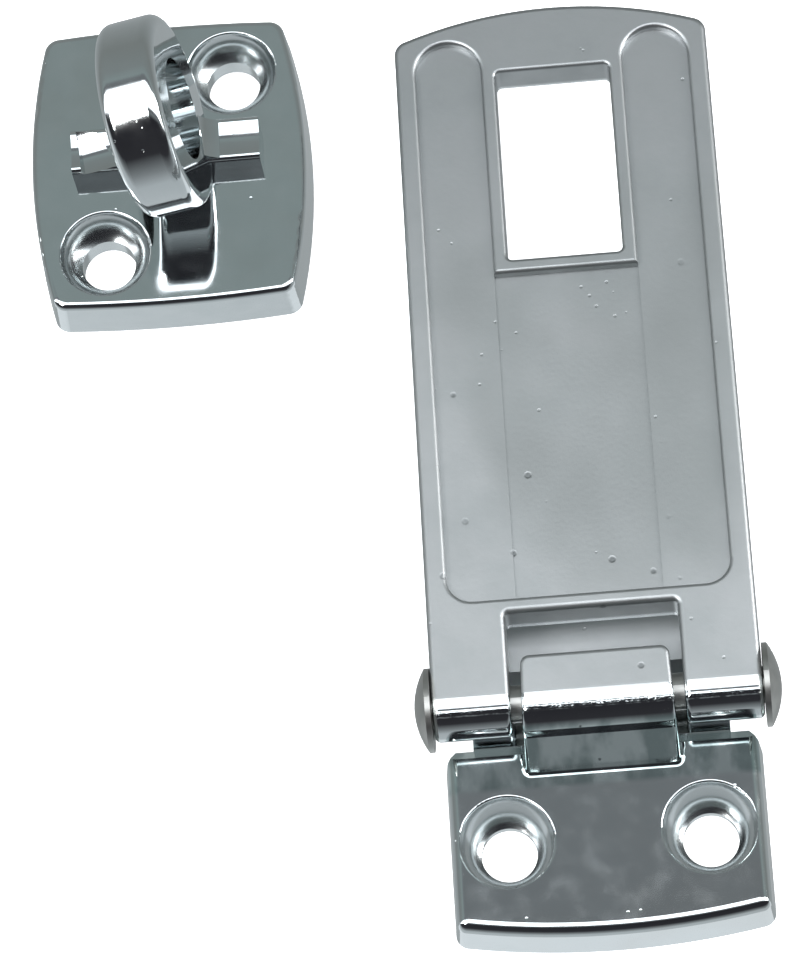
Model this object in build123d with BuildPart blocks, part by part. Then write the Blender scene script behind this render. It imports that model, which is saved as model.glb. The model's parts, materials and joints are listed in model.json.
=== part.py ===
from build123d import *
import os

os.makedirs("parts", exist_ok=True)

# A cast hasp and its staple, in millimetres. X runs along the hinge pin, Y along the opened strap, Z up from
# the surface that both plates are screwed to. The origin is midway between the hinge leaf's screw holes.

# Screws: countersunk, about 4 mm in the shank
screw_hole_d = 4.8
head_bowl_d = 8.0
bowl_rim = 0.2
bowl_floor_rise = 0.8

# Hinge leaf
leaf_width = 27.2
leaf_thickness = 4.4
leaf_draft = 5.0
leaf_hole_spacing = 17.2
leaf_hole_land = 0.7
holes_to_front = 7.6
front_bulge = 1.3
front_corner_r = 1.2
leaf_edge_r = 1.0
holes_to_pin = 11.2
tail_width = 22.0
tail_length = 8.6
tail_corner_r = 1.5

# Hinge
barrel_r = 2.8
crown_r = 3.3
lip_gap = 0.7
pin_r = 1.6
strap_fit = 0.06
groove_depth = 1.2
fold_gap = 0.2
knuckle_width = 12.6
ramp_flare = 0.3
ramp_foot = 5.4
ramp_top_angle = -12.0
ramp_foot_r = 0.5
tongue_length = 3.4
knuckle_edge_r = 0.4
lip_length = 1.2
corner_cut = 0.9
head_r = 3.6
head_rim = 0.45
head_height = 1.5
head_gap = 0.1

# Strap
strap_width = 28.0
strap_tip_width = 27.7
strap_length = 64.6
tip_bulge = 2.6
tip_corner_r = 1.3
strap_root_t = 4.2
strap_tip_t = 3.3
blend_room = 2.2
front_blend_r = 2.0
strap_edge_r = 0.9
barrel_edge_r = 0.5
notch_side_gap = 1.05
notch_length = 7.3
notch_corner_r = 0.4

# Slot and hollows in the strap's back
slot_width = 10.1
slot_length = 18.3
slot_centre = 49.3
slot_corner_r = 0.5
slot_rim = 1.25
channel_width = 5.8
channel_end = 61.7
hollow_start = 8.6
hollow_depth = 0.8
hollow_corner_r = 2.2
panel_step = 0.25
hollow_edge_r = 0.35

# Staple plate
staple_x = -35.0
pin_to_staple = 55.0
plate_width = 21.8
plate_length = 27.4
side_bulge = 1.75
end_bulge = 0.45
plate_corner_r = 1.4
plate_thickness = 4.6
plate_draft = 4.0
plate_edge_r = 0.6
hole_dx = 5.97
hole_dy = 8.45
plate_hole_land = 1.9

# Cross bar and padlock eye
bar_length = 16.9
bar_width = 4.2
bar_height = 2.5
bar_offset = 0.7
bar_edge_r = 0.45
saddle_r = 4.2
saddle_width = 3.2
eye_play = 0.35
eye_hole_r = 4.6
eye_width = 5.4
eye_lift = 8.1
eye_lean = 11.0
eye_turn = 5.0
eye_shift = 0.25
eye_edge_r = 1.1
eye_hole_edge_r = 0.6
foot_reach = 2.2
foot_rise = 3.6

# Places worked out from those sizes
pin_y = holes_to_pin
pin_z = leaf_thickness + fold_gap + barrel_r
strap_back_z = pin_z + barrel_r
root_front_z = strap_back_z - strap_root_t
tip_front_z = strap_back_z - strap_tip_t
tip_y = pin_y + strap_length
lip_y = pin_y - barrel_r - lip_gap
groove_floor = leaf_thickness - groove_depth
notch_width = knuckle_width + 2 * notch_side_gap
eye_r = slot_length / 2 - eye_play
bar_top = plate_thickness + bar_height
eye_z = plate_thickness + eye_lift
ramp_foot_width = knuckle_width + 2 * ramp_flare
blade_start = barrel_r + blend_room
blade_y = pin_y + blade_start
rim_half = slot_width / 2 + slot_rim
panel_end = slot_centre - slot_length / 2 - slot_rim
hollow_half = rim_half + channel_width
pin_axis = Axis((0, pin_y, pin_z), (1, 0, 0))


def screw_cutter(plate_t, land):
    """What one countersunk screw takes out: shank hole, round bowl for the head, and a softened rim."""
    hole_r = screw_hole_d / 2
    bowl_r = head_bowl_d / 2
    rim_in = bowl_rim * (1 - 0.5 ** 0.5)
    with BuildPart() as cutter:
        with BuildSketch(Plane.XZ):
            with BuildLine():
                Polyline((0, -1), (hole_r, -1), (hole_r, land))
                Bezier((hole_r, land), (bowl_r, land + bowl_floor_rise), (bowl_r, plate_t - bowl_rim))
                ThreePointArc(
                    (bowl_r, plate_t - bowl_rim),
                    (bowl_r + rim_in, plate_t - rim_in),
                    (bowl_r + bowl_rim, plate_t),
                )
                rim_r = bowl_r + bowl_rim
                Polyline((rim_r, plate_t), (rim_r, plate_t + 1), (0, plate_t + 1), (0, -1))
            make_face()
        revolve(axis=Axis.Z)
    return cutter.part


leaf_screw = screw_cutter(leaf_thickness, leaf_hole_land)
plate_screw = screw_cutter(plate_thickness, plate_hole_land)


# Middle knuckle of the leaf: round over the top and front, squared off behind, with a sloped front wall
with BuildPart() as knuckle:
    with BuildSketch(Plane.YZ.offset(-ramp_foot_width / 2)):
        with BuildLine():
            crown = CenterArc((pin_y, strap_back_z - crown_r), crown_r, 90, 90 + ramp_top_angle)
            Polyline(
                crown @ 1,
                (pin_y - ramp_foot, leaf_thickness),
                (pin_y - ramp_foot, leaf_thickness / 2),
                (pin_y + tongue_length, leaf_thickness / 2),
                (pin_y + tongue_length, strap_back_z),
                crown @ 0,
            )
        make_face()
    extrude(amount=ramp_foot_width)
    with BuildSketch():
        with BuildLine():
            Polyline(
                (-knuckle_width / 2, pin_y + tongue_length),
                (-ramp_foot_width / 2, pin_y - ramp_foot),
                (ramp_foot_width / 2, pin_y - ramp_foot),
                (knuckle_width / 2, pin_y + tongue_length),
                close=True,
            )
        plan = make_face()
        fillet(plan.vertices().group_by(Axis.Y)[-1], 2 * knuckle_edge_r)
    extrude(amount=strap_back_z, mode=Mode.INTERSECT)
    side_edges = knuckle.edges().filter_by(lambda e: abs(e.center().X) > knuckle_width / 2 - 0.5)
    fillet(side_edges.filter_by(lambda e: e.center().Z > leaf_thickness + 0.5), knuckle_edge_r)


# Hinge leaf: front pad with its bowed front edge, a tail that runs on under the strap, and the knuckle
with BuildPart() as hinge_leaf:
    half = leaf_width / 2
    with BuildSketch():
        with BuildLine():
            front = ThreePointArc(
                (-half, -holes_to_front), (0, -holes_to_front - front_bulge), (half, -holes_to_front)
            )
            Polyline(
                front @ 1,
                (half, lip_y),
                (half - corner_cut, lip_y + lip_length),
                (corner_cut - half, lip_y + lip_length),
                (-half, lip_y),
                front @ 0,
            )
        pad = make_face()
        fillet(pad.vertices().group_by(Axis.Y)[0], front_corner_r)
    extrude(amount=leaf_thickness, taper=leaf_draft)
    rim = hinge_leaf.edges().group_by(Axis.Z)[-1]
    fillet(rim.filter_by(lambda e: e.center().Y < lip_y - 1), leaf_edge_r)
    with BuildSketch(Plane((0, pin_y, 0))):
        with Locations((0, (tail_length - ramp_foot) / 2)):
            tail = Rectangle(tail_width, tail_length + ramp_foot)
        fillet(tail.vertices().group_by(Axis.Y)[-1], tail_corner_r)
    extrude(amount=leaf_thickness)
    with BuildSketch(Plane.YZ.offset(-half)):
        with BuildLine():
            Polyline(
                (lip_y, leaf_thickness),
                (lip_y + lip_length, groove_floor),
                (pin_y + barrel_r, groove_floor),
                (pin_y + barrel_r + lip_length, leaf_thickness),
                (pin_y, leaf_thickness + 2),
                close=True,
            )
        make_face()
    extrude(amount=leaf_width, mode=Mode.SUBTRACT)
    add(knuckle.part)
    on_top = hinge_leaf.edges().filter_by(lambda e: abs(e.center().Z - leaf_thickness) < 0.01)
    fillet(on_top.filter_by(lambda e: abs(e.center().Y - pin_y + ramp_foot) < 0.05), ramp_foot_r)
    with BuildSketch(Plane.YZ.offset(-half)):
        with Locations((pin_y, pin_z)):
            Circle(pin_r)
    extrude(amount=leaf_width, mode=Mode.SUBTRACT)
    with Locations((-leaf_hole_spacing / 2, 0), (leaf_hole_spacing / 2, 0)):
        add(leaf_screw, mode=Mode.SUBTRACT)


# Flat blade of the strap, square at the root, bowed at the tip, its front edges rounded
with BuildPart() as blade:
    with BuildSketch():
        with BuildLine():
            tip = ThreePointArc(
                (strap_tip_width / 2, tip_y - tip_bulge),
                (0, tip_y),
                (-strap_tip_width / 2, tip_y - tip_bulge),
            )
            Polyline(tip @ 1, (-strap_width / 2, blade_y), (strap_width / 2, blade_y), tip @ 0)
        outline = make_face()
        fillet(outline.vertices().group_by(Axis.Y)[-1], tip_corner_r)
    extrude(amount=strap_back_z)
    with BuildSketch(Plane.YZ.offset(-strap_width / 2)):
        with BuildLine():
            Polyline(
                (blade_y, strap_back_z),
                (tip_y, strap_back_z),
                (tip_y, tip_front_z),
                (blade_y, root_front_z),
                close=True,
            )
        make_face()
    extrude(amount=strap_width, mode=Mode.INTERSECT)
    front_edges = blade.edges().filter_by(lambda e: e.center().Z < tip_front_z + 0.05)
    fillet(front_edges.sort_by(Axis.Y)[1:], strap_edge_r)


# Strap, opened flat: side knuckles, notch, slot and the hollows cast into its back
with BuildPart() as strap:
    with BuildSketch(Plane.YZ.offset(-strap_width / 2)) as side_view:
        with Locations((pin_y, pin_z)):
            Circle(barrel_r)
        with Locations((pin_y, strap_back_z)):
            Rectangle(blade_start, strap_root_t, align=(Align.MIN, Align.MAX))
        # sketch X is the object's Y here, and sketch Y its Z
        creases = side_view.vertices().filter_by(lambda v: 0.5 < v.X - pin_y < barrel_r)
        fillet(creases.sort_by(Axis.Y)[0], front_blend_r)
    extrude(amount=strap_width)
    add(blade.part)
    with BuildSketch():
        with Locations((0, pin_y - barrel_r - 1)):
            notch = Rectangle(notch_width, 2 * (notch_length + barrel_r + 1))
        fillet(notch.vertices().group_by(Axis.Y)[-1], notch_corner_r)
    extrude(amount=strap_back_z + barrel_r, mode=Mode.SUBTRACT)
    barrel_ends = strap.edges().filter_by(GeomType.CIRCLE)
    fillet(barrel_ends.filter_by(lambda e: abs(e.radius - barrel_r) < 0.01), barrel_edge_r)
    with BuildSketch(Plane.YZ.offset(-strap_width / 2)):
        with Locations((pin_y, pin_z)):
            Circle(pin_r + strap_fit)
    extrude(amount=strap_width, mode=Mode.SUBTRACT)
    # slot, then the hollow round a rim: two round-ended channels joined across the root by a lower bay
    with BuildSketch():
        with Locations((0, pin_y + slot_centre)):
            slot = Rectangle(slot_width, slot_length)
        fillet(slot.vertices(), slot_corner_r)
    extrude(amount=strap_back_z + barrel_r, mode=Mode.SUBTRACT)
    with BuildSketch(Plane.XY.offset(strap_back_z)):
        with Locations((0, pin_y + hollow_start)):
            bay = Rectangle(2 * hollow_half, panel_end - hollow_start, align=(Align.CENTER, Align.MIN))
        fillet(bay.vertices().group_by(Axis.Y)[0], hollow_corner_r)
        for side in (-1, 1):
            channel_x = side * (rim_half + channel_width / 2)
            with Locations((channel_x, pin_y + channel_end - channel_width / 2)):
                Circle(channel_width / 2)
                Rectangle(channel_width, channel_end - panel_end, align=(Align.CENTER, Align.MAX))
    extrude(amount=-hollow_depth, mode=Mode.SUBTRACT)
    with BuildSketch(Plane.XY.offset(strap_back_z)):
        with Locations((0, pin_y + hollow_start + panel_step)):
            Rectangle(
                2 * rim_half, panel_end - hollow_start - panel_step, align=(Align.CENTER, Align.MIN)
            )
    extrude(amount=-hollow_depth - panel_step, mode=Mode.SUBTRACT)
    back_edges = strap.edges().filter_by(lambda e: abs(e.center().Z - strap_back_z) < 0.01)
    in_hollow = back_edges.filter_by(lambda e: abs(e.center().X) < hollow_half + 0.1)
    in_hollow = in_hollow.filter_by(lambda e: pin_y + notch_length + 0.5 < e.center().Y < tip_y - 1)
    fillet(in_hollow, hollow_edge_r)


# Rivet pin: a plain shank with a low round dome upset at each end
with BuildPart() as hinge_pin:
    shank_half = strap_width / 2 + head_gap
    dome_height = head_height - head_rim
    dome_r = (head_r**2 + dome_height**2) / (2 * dome_height)
    with BuildSketch(Plane.XZ):
        with BuildLine():
            Polyline((0, 0), (0, pin_r), (shank_half, pin_r), (shank_half, head_r))
            Line((shank_half, head_r), (shank_half + head_rim, head_r))
            RadiusArc((shank_half + head_rim, head_r), (shank_half + head_height, 0), dome_r)
            Line((shank_half + head_height, 0), (0, 0))
        make_face()
    revolve(axis=Axis.X)
    mirror(about=Plane.YZ)


# Padlock eye: a plain ring about the X axis, with softened edges
with BuildPart() as eye:
    with BuildSketch(Plane.XZ):
        with Locations((0, (eye_r + eye_hole_r) / 2)):
            band = Rectangle(eye_width, eye_r - eye_hole_r)
        fillet(band.vertices().group_by(Axis.Y)[-1], eye_edge_r)
        fillet(band.vertices().group_by(Axis.Y)[0], eye_hole_edge_r)
    revolve(axis=Axis.X)


# Staple: bowed plate on two screws, with a cross bar and a padlock eye that passes through the strap's slot
with BuildPart() as staple:
    with BuildSketch():
        with BuildLine():
            corner = Vector(plate_width / 2, plate_length / 2)
            ThreePointArc((-corner.X, -corner.Y), (0, -corner.Y - end_bulge), (corner.X, -corner.Y))
            ThreePointArc((corner.X, -corner.Y), (corner.X + side_bulge, 0), (corner.X, corner.Y))
            ThreePointArc((corner.X, corner.Y), (0, corner.Y + end_bulge), (-corner.X, corner.Y))
            ThreePointArc((-corner.X, corner.Y), (-corner.X - side_bulge, 0), (-corner.X, -corner.Y))
        make_face()
    extrude(amount=plate_thickness, taper=plate_draft)
    fillet(staple.edges().filter_by(lambda e: abs(e.tangent_at(0.5).Z) > 0.7), plate_corner_r)
    fillet(staple.edges().group_by(Axis.Z)[-1], plate_edge_r)
    for side in (-1, 1):
        with Locations((side * hole_dx, side * hole_dy)):
            add(plate_screw, mode=Mode.SUBTRACT)
    with BuildSketch(Plane.YZ.offset(-bar_length / 2)):
        with Locations((bar_offset, bar_top)):
            bar = Rectangle(bar_width, bar_height + plate_edge_r, align=(Align.CENTER, Align.MAX))
        fillet(bar.vertices().group_by(Axis.Y)[-1], bar_edge_r)
        with Locations((bar_offset, bar_top + (saddle_r**2 - saddle_width**2 / 4) ** 0.5)):
            Circle(saddle_r, mode=Mode.SUBTRACT)
    extrude(amount=bar_length)
    with BuildSketch(Plane.XZ.offset(-bar_offset)):
        with BuildLine():
            for side in (-1, 1):
                ThreePointArc(
                    (side * (eye_width / 2 + foot_reach), bar_top),
                    (side * (eye_width / 2 + 0.3 * foot_reach), bar_top + 0.3 * foot_rise),
                    (side * eye_width / 2, bar_top + foot_rise),
                )
            Line((-eye_width / 2, bar_top + foot_rise), (eye_width / 2, bar_top + foot_rise))
            Polyline(
                (-eye_width / 2 - foot_reach, bar_top),
                (-eye_width / 2 - foot_reach, plate_thickness),
                (eye_width / 2 + foot_reach, plate_thickness),
                (eye_width / 2 + foot_reach, bar_top),
            )
        make_face()
    extrude(amount=(bar_width - bar_edge_r) / 2, both=True)
    eye_place = Location((-eye_shift, bar_offset, eye_z), (0, -eye_lean, eye_turn))
    with Locations(eye_place):
        Cylinder(
            eye_hole_r + eye_hole_edge_r / 2, bar_length, rotation=(0, 90, 0), mode=Mode.SUBTRACT
        )
        add(eye.part)
    with BuildSketch():
        Rectangle(2 * plate_width, 2 * plate_length)
    extrude(amount=-eye_r, mode=Mode.SUBTRACT)


# Every piece in its place: strap opened flat, staple loose beside it
parts = {
    "hinge_leaf": hinge_leaf.part,
    "strap": strap.part,
    "hinge_pin": Pos(0, pin_y, pin_z) * hinge_pin.part,
    "staple": Pos(staple_x, pin_y + pin_to_staple, 0) * staple.part,
}
for label, piece in parts.items():
    piece.label = label
    export_step(piece, f"parts/{label}.step")
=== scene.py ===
import bpy
from math import radians
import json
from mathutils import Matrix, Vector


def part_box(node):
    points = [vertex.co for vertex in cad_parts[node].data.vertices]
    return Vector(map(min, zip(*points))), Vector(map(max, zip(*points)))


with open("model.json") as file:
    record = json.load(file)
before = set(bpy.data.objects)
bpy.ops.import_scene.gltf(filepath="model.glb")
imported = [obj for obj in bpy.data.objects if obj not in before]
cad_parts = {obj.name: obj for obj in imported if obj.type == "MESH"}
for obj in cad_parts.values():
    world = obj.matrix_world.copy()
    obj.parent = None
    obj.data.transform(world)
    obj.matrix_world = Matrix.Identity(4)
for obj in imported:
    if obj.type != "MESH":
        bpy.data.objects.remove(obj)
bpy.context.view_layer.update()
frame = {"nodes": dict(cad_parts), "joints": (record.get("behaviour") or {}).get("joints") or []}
MM = 0.001

# Hinge leaf: the short plate that is screwed down, die-cast in zinc in one with the middle knuckle, then
# plated. The screw plate is polished like a mirror. The squared top of the knuckle, and all that is behind
# it, are left as they came out of the mould.
_, hinge_y, hinge_z = next(j["pos_m"] for j in frame["joints"] if j["name"] == "strap_hinge")
leaf_top = 4.4 * MM
leaf_hole_x = 8.6 * MM
well_r = 4.1 * MM
well_edge = 0.25 * MM
well_shade = 0.5 * MM
crest_fade = (-0.3 * MM, 0.2 * MM)
mould_line_y = -1.35 * MM
mould_line_half = 0.3 * MM
# Along y, where the painted reflection streaks in front of the knuckle fade in at the front and out at the
# back.
film_front = (4.3 * MM, 5.0 * MM)
film_back = (8.9 * MM, 8.5 * MM)

clear_plating = (0.66, 0.70, 0.71)
hazy_plating = (0.74, 0.77, 0.78)
warm_plating = (0.60, 0.60, 0.585)
# Painted shade: the colour the plating is darkened towards down in the screw wells.
well_painted_shade = (0.40, 0.43, 0.43)
# Painted reflection: the dark and pale blue-grey of the streaks in front of the knuckle.
film_dark = (0.42, 0.50, 0.50)
film_pale = (0.76, 0.84, 0.84)
cast_by_hinge = ((0.53, 0.545, 0.55), (0.40, 0.42, 0.425))
cast_by_tip = ((0.445, 0.46, 0.467), (0.33, 0.35, 0.355))
# Along y, the span over which the as-cast colour goes from its hinge pair to its darker tip pair.
cast_tip_fade = (35 * MM, 68 * MM)
cast_blotch = (0.25, 0.27, 0.265)
cast_pit = (0.10, 0.11, 0.115)


class Finish:
    """A metal finish on the piece's own coordinates, put together one step at a time."""

    def __init__(self, name):
        self.mat = bpy.data.materials.new(name)
        self.mat.use_nodes = True
        self.nodes, self.links = self.mat.node_tree.nodes, self.mat.node_tree.links
        self.shader = self.nodes["Principled BSDF"]
        self.place = self.nodes.new("ShaderNodeTexCoord").outputs["Object"]
        split = self.nodes.new("ShaderNodeSeparateXYZ")
        self.links.new(self.place, split.inputs[0])
        self.x, self.y, self.z = (split.outputs[letter] for letter in "XYZ")

    def fill(self, sockets, given):
        """Sets each socket to the number given for it, or links it to the output given."""
        for socket, item in zip(sockets, given):
            if isinstance(item, (int, float)):
                socket.default_value = item
            elif isinstance(item, tuple):
                socket.default_value = (*item, 1)
            else:
                self.links.new(item, socket)

    def cloud(self, scale, detail=2.0, stretch=(1, 1, 1)):
        """Soft cloudy noise; stretch above 1 packs it tighter along that axis."""
        lay = self.nodes.new("ShaderNodeMapping")
        lay.inputs["Scale"].default_value = stretch
        noise = self.nodes.new("ShaderNodeTexNoise")
        noise.inputs["Scale"].default_value = scale
        noise.inputs["Detail"].default_value = detail
        self.links.new(self.place, lay.inputs["Vector"])
        self.links.new(lay.outputs[0], noise.inputs["Vector"])
        return noise.outputs["Fac"]

    def dots(self, scale, size):
        """1 in small round dots scattered about, 0 elsewhere."""
        cells = self.nodes.new("ShaderNodeTexVoronoi")
        cells.inputs["Scale"].default_value = scale
        self.links.new(self.place, cells.inputs["Vector"])
        return self.slope(cells.outputs["Distance"], size, size * 0.5)

    def slope(self, value, start, end, low=0.0, high=1.0):
        """low before start, high after end, smooth between."""
        node = self.nodes.new("ShaderNodeMapRange")
        node.interpolation_type = "SMOOTHSTEP"
        sockets = (node.inputs[name] for name in ("Value", "From Min", "From Max", "To Min", "To Max"))
        self.fill(sockets, (value, start, end, low, high))
        return node.outputs[0]

    def math(self, kind, *given):
        """One sum on sockets or numbers."""
        node = self.nodes.new("ShaderNodeMath")
        node.operation = kind
        self.fill(node.inputs, given)
        return node.outputs[0]

    def both(self, a, b):
        """One share times another, or times a number."""
        return self.math("MULTIPLY", a, b)

    def blend(self, share, a, b):
        """Colour a where share is 0 and b where it is 1."""
        node = self.nodes.new("ShaderNodeMix")
        node.data_type = "RGBA"
        self.links.new(share, node.inputs["Factor"])
        self.fill((node.inputs[6], node.inputs[7]), (a, b))
        return node.outputs[2]

    def relief(self, height, depth, strength=1.0, under=None):
        """Relief of that depth in metres, on top of an earlier one."""
        node = self.nodes.new("ShaderNodeBump")
        node.inputs["Distance"].default_value = depth
        node.inputs["Strength"].default_value = strength
        self.links.new(height, node.inputs["Height"])
        if under:
            self.links.new(under, node.inputs["Normal"])
        return node.outputs["Normal"]

    def metal(self, colour, rough, relief):
        """Joins colour, roughness and relief to the metal."""
        self.shader.inputs["Metallic"].default_value = 1.0
        self.links.new(colour, self.shader.inputs["Base Color"])
        self.links.new(rough, self.shader.inputs["Roughness"])
        self.links.new(relief, self.shader.inputs["Normal"])
        return self.mat


def in_wells(fin, wells, top):
    """1 inside the upright screw wells centred at wells, fading out up to top, 0 elsewhere."""
    inside = None
    for x, y in wells:
        dx, dy = fin.math("SUBTRACT", fin.x, x), fin.math("SUBTRACT", fin.y, y)
        away = fin.math("SQRT", fin.math("ADD", fin.both(dx, dx), fin.both(dy, dy)))
        well = fin.slope(away, well_r, well_r - well_edge)
        inside = well if inside is None else fin.math("MAXIMUM", inside, well)
    return fin.both(inside, fin.slope(fin.z, top, top - well_shade))


def as_cast(fin):
    """Colour, roughness, grain and pits of zinc as it left the mould, darker towards the strap's tip."""
    stain = fin.cloud(95.0, 6.0)
    blotch = fin.cloud(45.0, 3.0, (1.0, 0.6, 1.0))
    pits = fin.both(fin.dots(260.0, 0.10), fin.slope(fin.cloud(60.0), 0.52, 0.58))
    towards_tip = fin.slope(fin.y, *cast_tip_fade)
    pale, dark = (fin.blend(towards_tip, by_hinge, by_tip) for by_hinge, by_tip in zip(cast_by_hinge, cast_by_tip))
    colour = fin.blend(fin.slope(stain, 0.32, 0.74), pale, dark)
    colour = fin.blend(fin.slope(blotch, 0.5, 0.72, 0.0, 0.5), colour, cast_blotch)
    colour = fin.blend(fin.both(pits, 0.5), colour, cast_pit)
    rough = fin.slope(stain, 0.35, 0.7, 0.38, 0.46)
    return colour, rough, fin.cloud(2600.0, 4.0), pits


def plating(name, wave, wells=(), top=0.0, dull=None, seam=None, film=None):
    """Bright plating, rippled by wave, hazier and darkened with painted shade in the screw wells below top.
    dull and seam say where, from 0 to 1, the metal is as cast and the mould's joint left crumbs; the third
    mask, where blue-grey streaks of painted reflection lie."""
    fin = Finish(name)
    haze = fin.cloud(420.0, 5.0)
    colour = fin.blend(haze, clear_plating, hazy_plating)
    colour = fin.blend(fin.slope(fin.cloud(110.0, 4.0), 0.45, 0.75, 0.0, 0.35), colour, warm_plating)
    rough = fin.slope(haze, 0.35, 0.75, 0.05, 0.12)
    if film:
        # Dark and pale blue-grey streaks laid on the polish where the mask says: a painted reflection of the
        # room and the barrel.
        reflection_streaks = fin.slope(fin.cloud(330.0, 3.0, (1.0, 0.5, 0.5)), 0.40, 0.60)
        colour = fin.blend(film(fin), colour, fin.blend(reflection_streaks, film_dark, film_pale))
    if wells:
        well = in_wells(fin, wells, top)
        # Inside the wells the plating is rougher, and its colour is half darkened towards the well colour:
        # painted shade in the screw recesses.
        rough = fin.math("ADD", rough, fin.both(well, 0.13))
        colour = fin.blend(fin.both(well, 0.5), colour, well_painted_shade)
    relief = fin.relief(fin.cloud(230.0, 1.5), 0.25 * MM, wave)
    specks = fin.both(fin.dots(700.0, 0.12), fin.slope(fin.cloud(190.0), 0.58, 0.62))
    relief = fin.relief(specks, -0.04 * MM, 0.6, relief)
    if seam:
        relief = fin.relief(fin.both(fin.cloud(1800.0, 3.0), seam(fin)), 0.12 * MM, 0.8, relief)
    if dull:
        share = dull(fin)
        cast_colour, cast_rough, grain, pits = as_cast(fin)
        colour = fin.blend(share, colour, cast_colour)
        polished_rough = fin.both(rough, fin.math("SUBTRACT", 1.0, share))
        rough = fin.math("ADD", polished_rough, fin.both(cast_rough, share))
        relief = fin.relief(fin.both(grain, share), 0.02 * MM, 0.35, relief)
        relief = fin.relief(fin.both(pits, share), -0.05 * MM, 0.5, relief)
    return fin.metal(colour, rough, relief)


def behind_crest(fin):
    """1 behind the line along the top of the knuckles."""
    return fin.slope(fin.y, *(hinge_y + fade for fade in crest_fade))


def mould_line(fin):
    """1 on a narrow strip along the front of each knuckle, where the halves of the mould met."""
    off = fin.math("ABSOLUTE", fin.math("SUBTRACT", fin.y, hinge_y + mould_line_y))
    strip = fin.slope(off, mould_line_half, mould_line_half * 0.4)
    return fin.both(strip, fin.slope(fin.z, hinge_z, hinge_z + 1 * MM))


# Mask for the painted reflection streaks on the leaf.
def beside_knuckle(fin):
    """1 from behind the screws to the knuckle's sloped wall."""
    return fin.both(fin.slope(fin.y, *film_front), fin.slope(fin.y, *film_back))


def clad(node, mat):
    """Puts one finish on a CAD node."""
    mesh = frame["nodes"][node].data
    mesh.materials.clear()
    mesh.materials.append(mat)


leaf_wells = ((-leaf_hole_x, 0.0), (leaf_hole_x, 0.0))
leaf_finish = plating(
    "leaf_plating", 0.04, leaf_wells, leaf_top, dull=behind_crest, seam=mould_line, film=beside_knuckle
)
clad("hinge_leaf", leaf_finish)

# Strap: the same plated zinc casting, hung on the leaf by its two side knuckles. Its back and the hollows in
# it are as cast, its knuckles and its show face underneath are polished.
back_above = (6.6 * MM, 7.4 * MM)


def strap_back(fin):
    """1 on the side that is up when the strap lies open."""
    return fin.both(fin.slope(fin.z, *back_above), behind_crest(fin))


clad("strap", plating("strap_plating", 0.04, dull=strap_back, seam=mould_line))

# Rivet: plain steel, pushed through the three knuckles and hammered over at both ends, duller and browner
# than the castings, and scuffed along its length.
steel_dark = (0.36, 0.36, 0.345)
steel_pale = (0.52, 0.52, 0.50)

rivet = Finish("rivet_steel")
scuff = rivet.cloud(700.0, 5.0, (0.35, 1, 1))
dents = rivet.relief(rivet.cloud(300.0, 3.0), 0.1 * MM, 0.3)
steel = rivet.blend(scuff, steel_dark, steel_pale)
clad("hinge_pin", rivet.metal(steel, rivet.slope(scuff, 0.3, 0.7, 0.30, 0.42), dents))

# Staple: one plated zinc casting, polished all over, the padlock eye and its cross bar with the plate. Two
# screws on a diagonal hold it down.
staple_top = 4.6 * MM
hole_dx, hole_dy = 5.97 * MM, 8.45 * MM
staple_low, staple_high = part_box("staple")
staple_x, staple_y, _ = (staple_low + staple_high) / 2

staple_wells = tuple((staple_x + side * hole_dx, staple_y + side * hole_dy) for side in (-1, 1))
clad("staple", plating("staple_plating", 0.05, staple_wells, staple_top))

# The bench: a plain white sheet just under the plates. Mirror-polished faces don't show it, so that they
# stay as dark as the room's lower half.
sheet_gap = 0.2 * MM

bpy.ops.object.select_all(action="DESELECT")
bpy.ops.mesh.primitive_plane_add(size=4.0, location=(0, 0, -sheet_gap))
floor = bpy.context.object
floor.name = "floor"
floor.visible_glossy = False
paper = bpy.data.materials.new("white_paper")
paper.use_nodes = True
paper_shader = paper.node_tree.nodes["Principled BSDF"]
paper_shader.inputs["Base Color"].default_value = (0.93, 0.93, 0.93, 1)
paper_shader.inputs["Roughness"].default_value = 0.9
paper_shader.inputs["Emission Color"].default_value = (1, 1, 1, 1)
paper_shader.inputs["Emission Strength"].default_value = 0.9
floor.data.materials.append(paper)

# The room: a grey studio with a long lit window overhead and a dark wall in front of it. Bright and dark
# bands run across, so that each polished edge picks up a light line and a black one.
bands = (
    # degrees towards the front from straight up, and how bright the room is there
    (-150, (0.40, 0.43, 0.44)),
    (-70, (0.24, 0.26, 0.255)),
    (-36, (0.25, 0.28, 0.28)),
    (-24, (0.28, 0.335, 0.335)),
    (-20, (0.195, 0.21, 0.22)),
    (-14.5, (0.185, 0.20, 0.21)),
    (-12.5, (2.6, 2.7, 2.8)),
    (16, (2.6, 2.7, 2.8)),
    (19, (0.05, 0.05, 0.06)),
    (24, (0.22, 0.24, 0.25)),
    (30, (0.025, 0.025, 0.03)),
    (74, (0.035, 0.035, 0.04)),
    (96, (0.25, 0.27, 0.28)),
    (114, (0.50, 0.54, 0.56)),
    (146, (0.56, 0.60, 0.62)),
    (152, (0.84, 0.89, 0.92)),
    (170, (0.84, 0.89, 0.92)),
)

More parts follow.
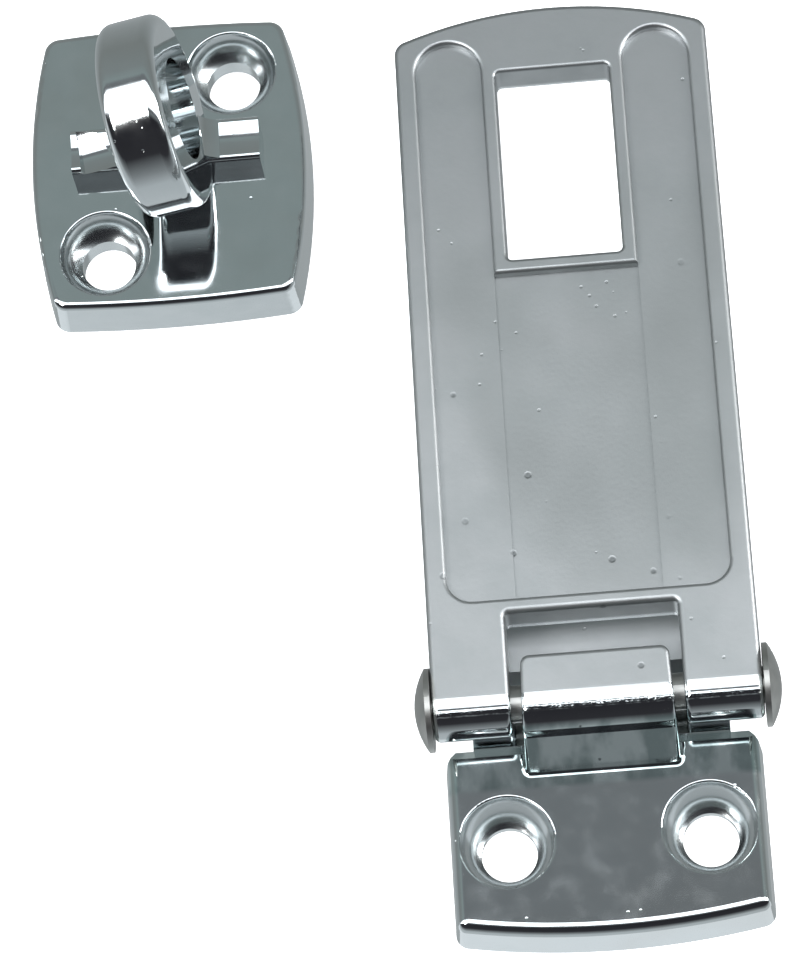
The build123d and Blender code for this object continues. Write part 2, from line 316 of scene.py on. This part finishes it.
room = bpy.data.worlds.new("studio")
bpy.context.scene.world = room
room.use_nodes = True
room_nodes, room_links = room.node_tree.nodes, room.node_tree.links
way = room_nodes.new("ShaderNodeTexCoord")
axes = room_nodes.new("ShaderNodeSeparateXYZ")
room_links.new(way.outputs["Generated"], axes.inputs[0])
forward = room_nodes.new("ShaderNodeMath")
forward.operation = "MULTIPLY"
forward.inputs[1].default_value = -1.0
room_links.new(axes.outputs["Y"], forward.inputs[0])
tilt = room_nodes.new("ShaderNodeMath")
tilt.operation = "ARCTAN2"
room_links.new(forward.outputs[0], tilt.inputs[0])
room_links.new(axes.outputs["Z"], tilt.inputs[1])
turn = room_nodes.new("ShaderNodeMapRange")
turn.inputs["From Min"].default_value = radians(-180)
turn.inputs["From Max"].default_value = radians(180)
room_links.new(tilt.outputs[0], turn.inputs["Value"])
walls = room_nodes.new("ShaderNodeValToRGB")
room_links.new(turn.outputs[0], walls.inputs[0])
stops = walls.color_ramp.elements
first, last = stops[0], stops[1]
for stop, (angle, colour) in ((first, bands[0]), (last, bands[-1])):
    stop.position = (angle + 180) / 360
    stop.color = (*colour, 1)
for angle, colour in bands[1:-1]:
    stops.new((angle + 180) / 360).color = (*colour, 1)
room_links.new(walls.outputs["Color"], room_nodes["Background"].inputs["Color"])


# The lamps: two softboxes, one at the right for the plates' right-hand edges, one high on the left.
def soft_lamp(name, place, aim, width, height, watts):
    """A rectangular softbox at place, in metres, facing aim."""
    lamp = bpy.data.lights.new(name, "AREA")
    lamp.shape = "RECTANGLE"
    lamp.size, lamp.size_y, lamp.energy = width, height, watts
    box = bpy.data.objects.new(name, lamp)
    bpy.context.scene.collection.objects.link(box)
    box.location = aim
    ahead = box.location.copy()
    box.location = place
    box.rotation_euler = (ahead - box.location).to_track_quat("-Z", "Y").to_euler()


middle = (0, 0.04, 0)
soft_lamp("right_lamp", (0.75, 0.1, 0.45), middle, 0.25, 0.5, 5.0)
soft_lamp("left_lamp", (-0.5, -0.25, 0.75), middle, 0.3, 0.3, 4.0)

# The camera: a long lens above and in front of the hinge, tipped back about 22 degrees, so that both plates
# are seen nearly face on with a little of their front edges.
lens = bpy.data.cameras.new("camera")
lens.lens = 225.0
lens.sensor_width = 36.0
lens.sensor_fit = "HORIZONTAL"
lens.clip_start = 0.01
lens.clip_end = 20.0
camera = bpy.data.objects.new("camera", lens)
camera.location = (7.432 * MM, -131.877 * MM, 406.798 * MM)
camera.rotation_euler = (radians(22.0193), radians(4.5724), radians(-3.0848))
bpy.context.scene.collection.objects.link(camera)
bpy.context.scene.camera = camera
bpy.context.scene.view_settings.view_transform = "Standard"
